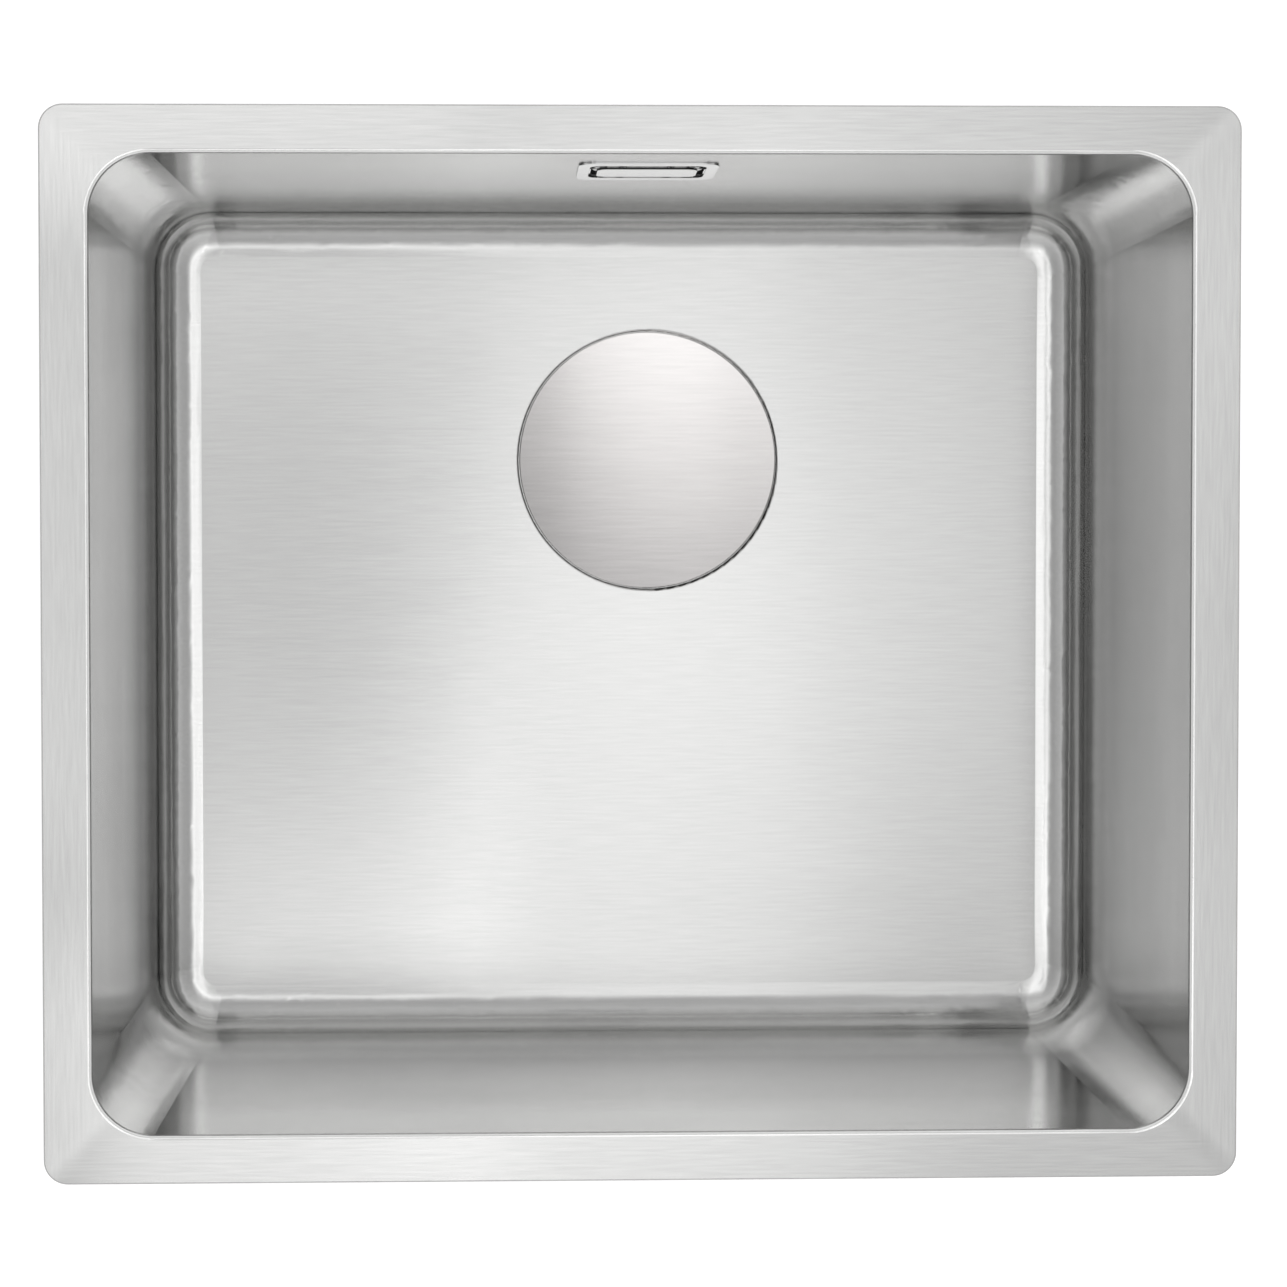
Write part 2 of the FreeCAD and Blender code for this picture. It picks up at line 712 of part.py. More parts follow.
def make_basket():
    """The perforated steel basket that lifts out of the waste."""
    body = drain_body("strainer_basket")
    inner = "basket_r - basket_t"
    outline = [
        ("basket_rim_r", "basket_rim_z"),
        ("basket_rim_r", "basket_rim_z + basket_t"),
        (inner, "basket_rim_z + basket_t"),
        (inner, "basket_low_z + basket_t"),
        ("rivet_r + fit_gap", "basket_low_z + basket_t"),
        ("rivet_r + fit_gap", "basket_low_z"),
        ("basket_r", "basket_low_z"),
        ("basket_r", "basket_rim_z"),
    ]
    revolve(body, "section", outline)
    for ring, count in enumerate(BASKET_RINGS):
        sketch = new_sketch(body, f"floor_hole_{ring}", offset="basket_low_z + basket_t")
        draw_circle(sketch, "basket_hole_r", f"basket_ring_r + {ring} * basket_ring_step")
        hole = extrude(body, "Pocket", sketch, "2 * basket_t")
        repeat_round(body, hole, count)
    sketch = new_sketch(body, "wall_holes", "YZ_Plane")
    for row in BASKET_WALL_ROWS:
        draw_circle(sketch, "basket_hole_r", "0", f"basket_rim_z - {row} * basket_depth")
    holes = extrude(body, "Pocket", sketch, "basket_r + basket_t")
    repeat_round(body, holes, BASKET_WALL_HOLES)


def make_basket_stopper():
    """The rubber ring under the basket's rim that shuts the waste."""
    body = drain_body("strainer_stopper")
    inner = "basket_r + fit_gap"
    face = "throat_r - stopper_gap"
    outline = [
        (inner, "basket_rim_z"),
        ("stopper_r", "basket_rim_z"),
        ("stopper_r", f"cone_top_z - ({face} - stopper_r)"),
        (f"{face} - stopper_h", "cone_top_z - stopper_h"),
        (inner, "cone_top_z - stopper_h"),
    ]
    revolve(body, "section", outline)


def make_basket_knob():
    """The knob that lifts the basket, riveted through the basket's floor."""
    body = drain_body("strainer_knob")
    floor = "basket_low_z + basket_t"
    outline = [
        ("0", "knob_top_z"),
        ("knob_r", "knob_top_z"),
        ("knob_r", "knob_top_z - knob_h"),
        ("stem_r", "knob_top_z - knob_h"),
        ("stem_r", floor),
        ("rivet_r", floor),
        ("rivet_r", "basket_low_z"),
        ("rivet_foot_r", "basket_low_z"),
        ("rivet_foot_r", "basket_low_z - rivet_foot_h"),
        ("0", "basket_low_z - rivet_foot_h"),
    ]
    revolve(body, "section", outline)
    crown = number("knob_r"), number("knob_top_z")
    round_edges(body, "knob_round_r", lambda edge: on_circle(edge, *crown))


def make_drain_cover():
    """The round plate that hides the waste, flush with the floor."""
    body = drain_body("drain_cover")
    inner = "cover_r - cover_t"
    outline = [
        ("0", "cover_top_z"),
        ("cover_r", "cover_top_z"),
        ("cover_r", "cover_top_z - cover_skirt"),
        (inner, "cover_top_z - cover_skirt"),
        (inner, "cover_low_z"),
        ("0", "cover_low_z"),
    ]
    revolve(body, "section", outline)
    edge_top = number("cover_r"), number("cover_top_z")
    round_edges(body, "cover_edge_r", lambda edge: on_circle(edge, *edge_top))


def make_cover_socket():
    """The moulded socket under the cover that drops over the basket's knob."""
    body = drain_body("cover_socket")
    inner = "socket_bore_r"
    roof = "cover_low_z - socket_t"
    low = f"{roof} - socket_depth"
    outline = [
        ("0", "cover_low_z"),
        ("socket_r", "cover_low_z"),
        ("socket_r", low),
        (inner, low),
        (inner, roof),
        ("0", roof),
    ]
    revolve(body, "section", outline)


def make_overflow_frame():
    """The frame on the wall, with the sunk bridge that takes the screws and the lid's pegs."""
    body = overflow_body("overflow_frame")
    plate = new_sketch(body, "plate", offset="glue_gap")
    draw_rounded_box(plate, "frame_w", "frame_h", "frame_r")
    draw_rounded_box(plate, "slot_w", "slot_h", "slot_r")
    extrude(body, "Pad", plate, "frame_t")
    face = number("glue_gap + frame_t")
    round_edges(body, "plate_edge_r", lambda edge: level(edge, face))
    posts = new_sketch(body, "posts", offset="glue_gap + frame_t / 2")
    for side in (1, -1):
        draw_box(posts, "bridge_t", "bridge_h", f"{side} * (bridge_w - bridge_t) / 2")
    extrude(body, "Pad", posts, "glue_gap + frame_t / 2 + bridge_depth", reverse=True)
    bridge = new_sketch(body, "bridge", offset="0 - bridge_depth")
    draw_box(bridge, "bridge_w", "bridge_h")
    extrude(body, "Pad", bridge, "bridge_t")
    holes = new_sketch(body, "holes", offset="0 - bridge_depth")
    for side in (1, -1):
        draw_circle(holes, "screw_r + glue_gap", f"{side} * screw_x")
        draw_circle(holes, "peg_r + glue_gap", f"{side} * peg_x")
    extrude(body, "Pocket", holes, "2 * bridge_t", reverse=True)


def make_overflow_lid():
    """The bare plate that stands in the frame's slot and pulls out by its two pegs."""
    body = overflow_body("overflow_lid")
    plate = new_sketch(body, "plate", offset="lid_lift")
    draw_rounded_box(plate, "lid_w", "lid_h", "lid_r", y="lid_y")
    extrude(body, "Pad", plate, "lid_t")
    face = number("lid_lift + lid_t")
    round_edges(body, "plate_edge_r", lambda edge: level(edge, face))
    pegs = new_sketch(body, "pegs", offset="lid_lift + lid_t / 2")
    for side in (1, -1):
        draw_circle(pegs, "peg_r", f"{side} * peg_x")
    extrude(body, "Pad", pegs, "peg_length + lid_t / 2", reverse=True)


def make_overflow_screw(label, side):
    """One of the two screws that hold the frame to the body behind the wall."""
    body = overflow_body(label, f"{side} * screw_x")
    top = "screw_seat_z + screw_head_h"
    outline = [
        ("0", top),
        ("screw_head_r", top),
        ("screw_head_r", "screw_seat_z"),
        ("screw_r", "screw_seat_z"),
        ("screw_r", "screw_end_z"),
        ("0", "screw_end_z"),
    ]
    revolve(body, "section", outline)
    crown = number("screw_head_r"), number(top)
    round_edges(body, "screw_head_h / 2", lambda edge: on_circle(edge, *crown))
    slot = new_sketch(body, "slot", offset=top)
    draw_box(slot, "2 * screw_head_r", "screw_slot_w")
    extrude(body, "Pocket", slot, "screw_head_h / 2")


def make_overflow_seal():
    """The seal between the wall's outside and the overflow's body."""
    body = overflow_body("overflow_seal")
    sketch = new_sketch(body, "ring", offset="back_front_z")
    draw_rounded_box(sketch, "back_flange_w", "back_flange_h", "back_flange_r")
    grow = "2 * joint_gap"
    draw_rounded_box(
        sketch, f"overflow_hole_w + {grow}", f"overflow_hole_h + {grow}", "overflow_hole_r"
    )
    extrude(body, "Pad", sketch, "overflow_seal_t - glue_gap")


def make_overflow_back():
    """The moulded chamber behind the wall, which leads the water down into the pipe."""
    body = overflow_body("overflow_back")
    flange = new_sketch(body, "flange", offset="back_front_z")
    draw_rounded_box(flange, "back_flange_w", "back_flange_h", "back_flange_r")
    extrude(body, "Pad", flange, "back_flange_t", reverse=True)

    def side_outline(name, wall, front):
        """The chamber seen from the side, shrunk by a wall, with its front at a height."""
        sketch = new_sketch(body, name, "YZ_Plane")
        deep = f"{wall} - back_deep"
        shallow = f"{wall} - back_shallow"
        points = [
            (f"back_top - {wall}", front),
            (f"back_top - {wall}", shallow),
            (f"back_bend_y - {wall} / 2", shallow),
            (f"back_deep_y - {wall} / 2", deep),
            (f"{wall} - back_bottom", deep),
            (f"{wall} - back_bottom", front),
        ]
        draw_polygon(sketch, points)
        return sketch

    extrude(body, "Pad", side_outline("outside", "0", "back_front_z"), "back_w", midplane=True)
    hollow = side_outline("inside", "back_wall", "back_front_z + back_wall")
    extrude(body, "Pocket", hollow, "back_w - 2 * back_wall", midplane=True)

    boss = new_sketch(body, "bosses", offset="back_front_z - back_flange_t")
    hole = new_sketch(body, "boss_holes", offset="back_front_z")
    for side in (1, -1):
        draw_circle(boss, "boss_r", f"{side} * screw_x")
        draw_circle(hole, "screw_r + fit_gap", f"{side} * screw_x")
    extrude(body, "Pad", boss, "boss_h", reverse=True)
    extrude(body, "Pocket", hole, "back_flange_t + boss_h + fit_gap")

    spigot = new_sketch(body, "spigot", "XZ_Plane", "back_bottom - back_wall / 2")
    draw_circle(spigot, "pipe_r", "0", "0 - pipe_back")
    extrude(body, "Pad", spigot, "spigot_length + back_wall / 2")
    bore = new_sketch(body, "spigot_bore", "XZ_Plane", "back_bottom + spigot_length")
    draw_circle(bore, "pipe_bore_r", "0", "0 - pipe_back")
    extrude(body, "Pocket", bore, "spigot_length + 2 * back_wall")


def pipe_corners():
    """The ends of the overflow pipe's middle line and the point where its two runs would meet."""
    slope = math.atan(number("wall_slope"))
    up = Vector(0, math.sin(slope), math.cos(slope))
    out = Vector(0, math.cos(slope), -math.sin(slope))
    wall = Vector(number("overflow_x"), number("overflow_y"), number("overflow_z"))
    start = wall + up * number("spigot_end_y - joint_gap") + out * number("pipe_back")
    corner = Vector(number("overflow_x"), number("pipe_y"), number("port_z"))
    axis = Vector(number("drain_x"), number("drain_y"), number("port_z"))
    aim = (corner - axis).normalize()
    end = axis + aim * number("port_reach + joint_gap")
    return start, corner, end


def make_overflow_pipe():
    """The bent pipe from the overflow down to the waste."""
    start, corner, end = pipe_corners()
    back = (start - corner).normalize()
    ahead = (end - corner).normalize()
    bend = number("pipe_bend_r")
    half = back.getAngle(ahead) / 2
    reach = bend / math.tan(half)
    middle = corner + (back + ahead).normalize() * (bend / math.sin(half))
    crown = middle + (corner - middle).normalize() * bend
    first, last = corner + back * reach, corner + ahead * reach
    run = [Part.makeLine(start, first), Part.Arc(first, crown, last).toShape(), Part.makeLine(last, end)]
    path = Part.Wire(run)

    def swept(radius):
        ring = Part.Wire([Part.makeCircle(radius, start, back * -1)])
        return path.makePipeShell([ring], True, True)

    pipe = doc.addObject("Part::Feature", "overflow_pipe")
    pipe.Label = "overflow_pipe"
    pipe.Shape = swept(number("pipe_r")).cut(swept(number("pipe_bore_r")))
    pipe.Placement = Placement()
    nodes.append(pipe)


def pipe_joint_place(upper):
    """Where a slip nut sits on the pipe: the middle of the joint, with Z along the pipe."""
    start, corner, end = pipe_corners()
    tip = start if upper else end
    away = (tip - corner).normalize()
    return Placement(tip + away * number("joint_gap / 2"), Rotation(Z_AXIS, away))


def make_pipe_nut(label, upper):
    """A slip nut with grips, hollowed for its seal."""
    body = new_body(label)
    bore = "pipe_r + glue_gap"
    groove = "pipe_seal_r + glue_gap"
    end, room = "pipe_nut_h / 2", "pipe_seal_h / 2 + glue_gap"
    outline = [
        (bore, end),
        ("pipe_nut_r", end),
        ("pipe_nut_r", f"0 - {end}"),
        (bore, f"0 - {end}"),
        (bore, f"0 - ({room})"),
        (groove, f"0 - ({room})"),
        (groove, room),
        (bore, room),
    ]
    revolve(body, "section", outline)
    sketch = new_sketch(body, "grip", offset="0 - pipe_nut_h / 2")
    draw_box(sketch, "2 * pipe_nut_grip", "pipe_nut_grip_w", "pipe_nut_r")
    grip = extrude(body, "Pad", sketch, "pipe_nut_grip_h")
    repeat_round(body, grip, NUT_GRIPS)
    place_at_joint(body, upper)


def make_pipe_seal(label, upper):
    """The rubber ring inside a slip nut, over the joint."""
    body = new_body(label)
    make_ring(body, "pipe_r + fit_gap", "pipe_seal_r", "0 - pipe_seal_h / 2", "pipe_seal_h")
    place_at_joint(body, upper)


def place_at_joint(body, upper):
    for way in "xyz":
        body.setExpression(f"Placement.Base.{way}", None)
    body.Placement = pipe_joint_place(upper)


def clip_places():
    """Each clip's name, the two formulas of its place on the bowl's mouth, and its outward turn."""
    places = []
    for end, sign in (("left", -1), ("right", 1)):
        across = f"{sign} * clip_end_x"
        places.append((f"front_{end}", across, "0 - bowl_width / 2", 270))
        places.append((f"back_{end}", across, "bowl_width / 2", 90))
    for end, sign in (("front", -1), ("back", 1)):
        along = f"{sign} * clip_side_y"
        places.append((f"left_{end}", "0 - bowl_length / 2", along, 180))
        places.append((f"right_{end}", "bowl_length / 2", along, 0))
    return places


def wall_out(z):
    """How far the bowl's outer face lies beyond the mouth's edge at a height."""
    return f"sheet_t * wall_stretch - wall_slope * (rim_lip - ({z}))"


def make_clip_bracket(name, x, y, turn):
    """The angle welded to the bowl that carries a clip's stud."""
    body = new_body(f"clip_bracket_{name}", x, y, "0", Z_AXIS, str(turn))
    top, bend = "0 - bracket_top", "0 - bracket_top - bracket_t"
    low = "0 - bracket_top - bracket_leg"
    thick = "glue_gap + bracket_t"
    outline = [
        (f"{wall_out(top)} + glue_gap", top),
        ("bracket_reach", top),
        ("bracket_reach", bend),
        (f"{wall_out(bend)} + {thick}", bend),
        (f"{wall_out(low)} + {thick}", low),
        (f"{wall_out(low)} + glue_gap", low),
    ]
    sketch = new_sketch(body, "angle", "XZ_Plane")
    draw_polygon(sketch, outline)
    extrude(body, "Pad", sketch, "clip_width", midplane=True)
    hole = new_sketch(body, "hole", offset=top)
    draw_circle(hole, "stud_r + fit_gap", "stud_out")
    extrude(body, "Pocket", hole, "2 * bracket_t")
    return body


def make_clip_stud(name, x, y, turn):
    """The threaded stud that hangs from a bracket."""
    body = new_body(f"clip_stud_{name}", x, y, "0", Z_AXIS, str(turn))
    head = new_sketch(body, "head", offset="0 - bracket_top")
    draw_circle(head, "stud_head_r", "stud_out")
    extrude(body, "Pad", head, "stud_head_h")
    shank = new_sketch(body, "shank", offset="0 - bracket_top")
    draw_circle(shank, "stud_r", "stud_out")
    extrude(body, "Pad", shank, "stud_length", reverse=True)
    return body


def make_clip_claw(name, x, y, turn):
    """The bent claw that a nut draws up against the worktop's underside."""
    body = new_body(f"clip_claw_{name}", x, y, "0", Z_AXIS, str(turn))
    tip = "claw_top_z + claw_tooth"
    outline = [
        ("claw_in", "claw_low_z"),
        ("claw_out", "claw_low_z"),
        ("claw_out", tip),
        ("claw_out - claw_tooth_w", tip),
        ("claw_out - claw_tooth_w", "claw_top_z"),
        ("claw_in", "claw_top_z"),
    ]
    sketch = new_sketch(body, "side", "XZ_Plane")
    draw_polygon(sketch, outline)
    extrude(body, "Pad", sketch, "clip_width", midplane=True)
    heel = number("claw_out"), number("claw_low_z")
    bend = lambda edge: all(math.hypot(p.x - heel[0], p.z - heel[1]) < 1e-4 for p in spots(edge))
    round_edges(body, "claw_bend_r", bend)
    hole = new_sketch(body, "hole", offset="claw_top_z")
    draw_circle(hole, "stud_r + fit_gap", "stud_out")
    extrude(body, "Pocket", hole, "2 * claw_t")


def make_clip_nut(name, x, y, turn):
    """The nut under a claw."""
    body = new_body(f"clip_nut_{name}", x, y, "0", Z_AXIS, str(turn))
    sketch = new_sketch(body, "hexagon", offset="claw_low_z - glue_gap")
    corners = [(f"stud_out + {across}", along) for across, along in hexagon("nut_flats")]
    draw_polygon(sketch, corners)
    draw_circle(sketch, "stud_r + fit_gap", "stud_out")
    extrude(body, "Pad", sketch, "nut_h", reverse=True)


def group(label, bodies):
    """Several like pieces kept together under one name."""
    made = doc.addObject("Part::Compound", label)
    made.Label = label
    made.Links = bodies
    for body in bodies:
        nodes.remove(body)
    nodes.append(made)


def make_clips():
    places = clip_places()
    group("clip_brackets", [make_clip_bracket(*place) for place in places])
    group("clip_studs", [make_clip_stud(*place) for place in places])
    for place in places:
        make_clip_claw(*place)
        make_clip_nut(*place)


def make_floor_pad(label, x, y, length, width):
    """A flat sound pad under the bowl's floor."""
    body = new_body(label)
    sketch = new_sketch(body, "outline", offset="under_z - glue_gap")
    draw_box(sketch, length, width, x, y)
    extrude(body, "Pad", sketch, "pad_t", reverse=True)


def make_wall_pad(label, x, y, turn, length):
    """A sound pad on the outside of a wall, leaning with it."""
    body = new_body(label, x, y, "0", Z_AXIS, str(turn))
    top = "0 - side_pad_top"
    low = "0 - side_pad_top - side_pad_h"
    thick = "glue_gap + pad_t"
    outline = [
        (f"{wall_out(top)} + glue_gap", top),
        (f"{wall_out(top)} + {thick}", top),
        (f"{wall_out(low)} + {thick}", low),
        (f"{wall_out(low)} + glue_gap", low),
    ]
    sketch = new_sketch(body, "side", "XZ_Plane")
    draw_polygon(sketch, outline)
    extrude(body, "Pad", sketch, length, midplane=True)


def make_sound_pads():
    for label, sign in (("floor_pad_left", -1), ("floor_pad_right", 1)):
        middle = f"{sign} * (floor_reach - pad_edge - pad_length / 2)"
        make_floor_pad(label, middle, "0", "pad_length", "pad_width")
    front = "drain_y - recess_r - front_pad_gap - front_pad_width / 2"
    make_floor_pad("floor_pad_front", "drain_x", front, "front_pad_length", "front_pad_width")
    make_wall_pad("wall_pad_left", "0 - bowl_length / 2", "0", 180, "side_pad_length")
    make_wall_pad("wall_pad_right", "bowl_length / 2", "0", 0, "side_pad_length")
    make_wall_pad("wall_pad_front", "0", "0 - bowl_width / 2", 270, "front_wall_pad_length")


def make_waste():
    make_ring(
        drain_body("flange_seal"),
        "drain_hole_r + sheet_t",
        "flange_r - sheet_t",
        "seat_z",
        "flange_seal_t",
    )
    make_waste_flange()
    make_clamp_screw()
    make_ring(
        drain_body("clamp_insert"),
        "clamp_r + fit_gap",
        "insert_r",
        "outlet_top_z - insert_h",
        "insert_h",
    )
    make_ring(
        drain_body("lower_seal"),
        "drain_hole_r + joint_gap",
        "body_flange_r - sheet_t",
        "body_top_z",
        "lower_seal_t",
    )
    make_waste_body()
    make_basket()
    make_basket_stopper()
    make_basket_knob()
    make_drain_cover()
    make_cover_socket()


def make_overflow():
    make_overflow_frame()
    make_overflow_lid()
    make_overflow_screw("overflow_screw_left", -1)
    make_overflow_screw("overflow_screw_right", 1)
    make_overflow_seal()
    make_overflow_back()
    make_overflow_pipe()
    for name, upper in (("upper", True), ("lower", False)):
        make_pipe_nut(f"pipe_nut_{name}", upper)
        make_pipe_seal(f"pipe_seal_{name}", upper)


def check_all():
    """Stop if any feature failed or any piece came out empty or broken."""
    for thing in doc.Objects:
        if "Invalid" in thing.State or "Error" in thing.State:
            raise RuntimeError(f"{thing.Name}: {thing.State}")
    for node in nodes:
        if node.Shape.isNull() or not node.Shape.isValid() or not node.Shape.Solids:
            raise RuntimeError(f"{node.Label} has no sound solid")


def main():
    fill_sheet()
    make_sink_shell()
    make_rim_seal()
    make_waste()
    make_overflow()
    make_clips()
    make_sound_pads()
    doc.recompute()
    check_all()
    os.makedirs("parts", exist_ok=True)
    for node in nodes:
        node.Shape.exportStep(f"parts/{node.Label}.step")
    print(f"{len(nodes)} nodes written")


main()
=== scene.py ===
"""Looks of the sit-on sink: brushed steel, rubber, moulded plastic, zinc-plated clips and studio light.

Lengths are metres in the part's own frame: the worktop's face is z = 0, +Y is the overflow's wall and
+X is to the right.
"""

import functools
import json
import math

import bmesh
import bpy
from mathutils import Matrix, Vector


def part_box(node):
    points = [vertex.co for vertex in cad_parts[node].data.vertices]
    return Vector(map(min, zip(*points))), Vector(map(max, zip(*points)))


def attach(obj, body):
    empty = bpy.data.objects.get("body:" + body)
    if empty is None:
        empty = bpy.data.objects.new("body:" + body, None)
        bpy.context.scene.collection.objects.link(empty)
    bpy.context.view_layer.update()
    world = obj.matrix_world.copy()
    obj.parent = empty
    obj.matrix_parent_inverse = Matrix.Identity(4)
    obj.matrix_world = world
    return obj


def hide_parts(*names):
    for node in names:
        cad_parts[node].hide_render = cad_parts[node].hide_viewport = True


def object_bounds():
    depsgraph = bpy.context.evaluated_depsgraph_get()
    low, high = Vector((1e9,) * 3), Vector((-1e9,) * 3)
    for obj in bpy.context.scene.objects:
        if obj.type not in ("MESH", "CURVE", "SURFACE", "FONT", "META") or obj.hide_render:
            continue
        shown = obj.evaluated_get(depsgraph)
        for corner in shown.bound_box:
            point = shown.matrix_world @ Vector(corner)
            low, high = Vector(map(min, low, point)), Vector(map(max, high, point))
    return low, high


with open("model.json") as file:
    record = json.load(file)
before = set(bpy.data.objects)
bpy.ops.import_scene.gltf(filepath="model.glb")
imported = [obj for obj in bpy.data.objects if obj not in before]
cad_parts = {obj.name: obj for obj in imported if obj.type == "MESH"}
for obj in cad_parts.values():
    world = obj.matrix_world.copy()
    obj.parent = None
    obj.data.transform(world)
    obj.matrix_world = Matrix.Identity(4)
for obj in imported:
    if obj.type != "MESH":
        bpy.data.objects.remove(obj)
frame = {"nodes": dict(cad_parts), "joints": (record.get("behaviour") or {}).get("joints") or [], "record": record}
cad_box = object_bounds()

# Camera, fitted to the rim, the bowl's walls and the cover in the photograph
IMAGE_PX = 1287
SENSOR_MM = 36.0
CAMERA_AT = (-0.075, 0.0794, 1.3521)
CAMERA_TURN_DEG = (-1.772, -1.739, -0.047)
FOCAL_PX = 3316.9
AXIS_PX = (559.8, 553.4)

# Half the rim's length and width, to tell its side bands from its front and back bands
RIM_HALF = (cad_box[1][0], -cad_box[0][1])
# What lies above this level is the rim, whose bands blend over a width at the mitres
RIM_LEVEL = 0.0
MITRE_BLEND = 0.008
BOWL_FLOOR = -0.188

# Brush marks per metre along and across the brush: fine scratches, with a share of longer streaks
SCRATCHES = (50, 1000)
STREAKS = (6, 170)
STREAK_SHARE = 0.15
SCRATCH_STRENGTH = 0.2
SCRATCH_DEPTH = 0.00001
# How much stronger the brush marks are on the rim than inside the bowl
RIM_GRAIN = 1.6
# Cells per metre of the cloudy unevenness of the steel, and how far its roughness and pressed tone stray
STEEL_CLOUDS = 16
ROUGHNESS_STRAY = 0.1
PRESS_STRAY = 0.08
# Levels between which the steel goes from its worn roughness to its full one
WORN_LEVELS = (-0.16, -0.05)
# How much the painted highlight lines add to the tone, at the foot of the side walls and along the mouth
FOOT_PAINTED_HIGHLIGHT = 0.22
MOUTH_PAINTED_HIGHLIGHT = 0.45

# How much of a face's normal lies along X, Y or Z where one finish goes over into another, and where the painted
# highlight lines at the foot and the mouth start and end
FLAT_FACING = (0.5, 0.98)
SIDE_FACING = (0.75, 0.95)
FRONT_FACING = (0.1, 0.9)
UNDER_FACING = (-0.5, -0.1)
FOOT_START = (0.01, 0.08)
FOOT_END = (0.25, 0.45)
MOUTH_START = (0.3, 0.6)
MOUTH_END = (0.97, 0.995)

# Painted shade and light on upright faces: their tone as a share of that of flat ones, with the painted light that
# the back and the front wall add to it
UPRIGHT_PAINTED_SHADE = 0.9
BACK_PAINTED_LIGHT = 0.45
FRONT_PAINTED_LIGHT = 0.44
# Tone by height, standing in for the bend that the walls mirror in the photograph: the lowest tone, and four
# levels up the wall, which are its foot, the lower and upper end of the darkest part, and its top
TOP_PAINTED_LIGHT = 1.06
SIDE_PAINTED_SHADE = (0.46, -0.15, -0.12, -0.115, -0.025)
BACK_PAINTED_SHADE = (0.78, -0.165, -0.14, -0.12, -0.03)

# Cells per metre of the clouds and specks in plating, and of the clouds in rubber and plastic
PLATING_CLOUDS = 90
PLATING_SPECKS = 2200
SPECK_SHARE = 0.4
PLATING_STRAY = 0.25
MOULDING_CLOUDS = 28
MOULDING_STRAY = 0.15

# The M5 thread of the clips' studs, whose solids have plain shanks
THREAD_PITCH = 0.0008
THREAD_CREST = 0.0025
THREAD_ROOT = 0.00202
STUD_HEAD_R = 0.0034
STUD_HEAD_H = 0.002
STUD_NECK = 0.002
STUD_TIP = 0.001
STUD_TIP_R = 0.0017
STUD_SIDES = 12
ROWS_PER_PITCH = 4

# The dome's brightness, as a share of its peak, against the height of the direction (1 is straight up)
DOME_PEAK = 1.25
DOME = (
    (0.0, 0.62), (0.2, 0.62), (0.4, 0.6), (0.56, 0.5), (0.7, 0.44), (0.81, 0.38), (0.88, 0.45),
    (0.905, 0.85), (0.922, 1.0), (0.936, 0.72), (0.947, 0.5), (0.96, 0.5), (0.975, 0.6), (1.0, 0.62),
)

# Soft panels overhead: the middle's x and y, the size along x and y, and the radiance
PANEL_HEIGHT = 0.95
PANELS = {
    "middle": ((0.075, 0.0), (0.26, 0.9), 0.4),
    "key": ((0.055, -0.25), (0.24, 0.34), 2.5),
    "front": ((-0.16, -0.38), (0.33, 0.24), 0.85),
    "back": ((-0.26, 0.36), (0.39, 0.24), 0.75),
    "left": ((-0.39, 0.0), (0.125, 0.4), 0.55),
    "right": ((0.325, 0.0), (0.26, 0.9), 0.15),
    "back_right": ((0.28, 0.2), (0.3, 0.28), 2.1),
}
WHITE = (1, 1, 1, 1)
FLOOR_SIZE = 30.0
FLOOR_GLOW = 0.6
FLOOR_CLOUDS = 9
FLOOR_TONES = ((0.78, 0.78, 0.78), (0.82, 0.82, 0.82))
FLOOR_ROUGHNESS = 0.9


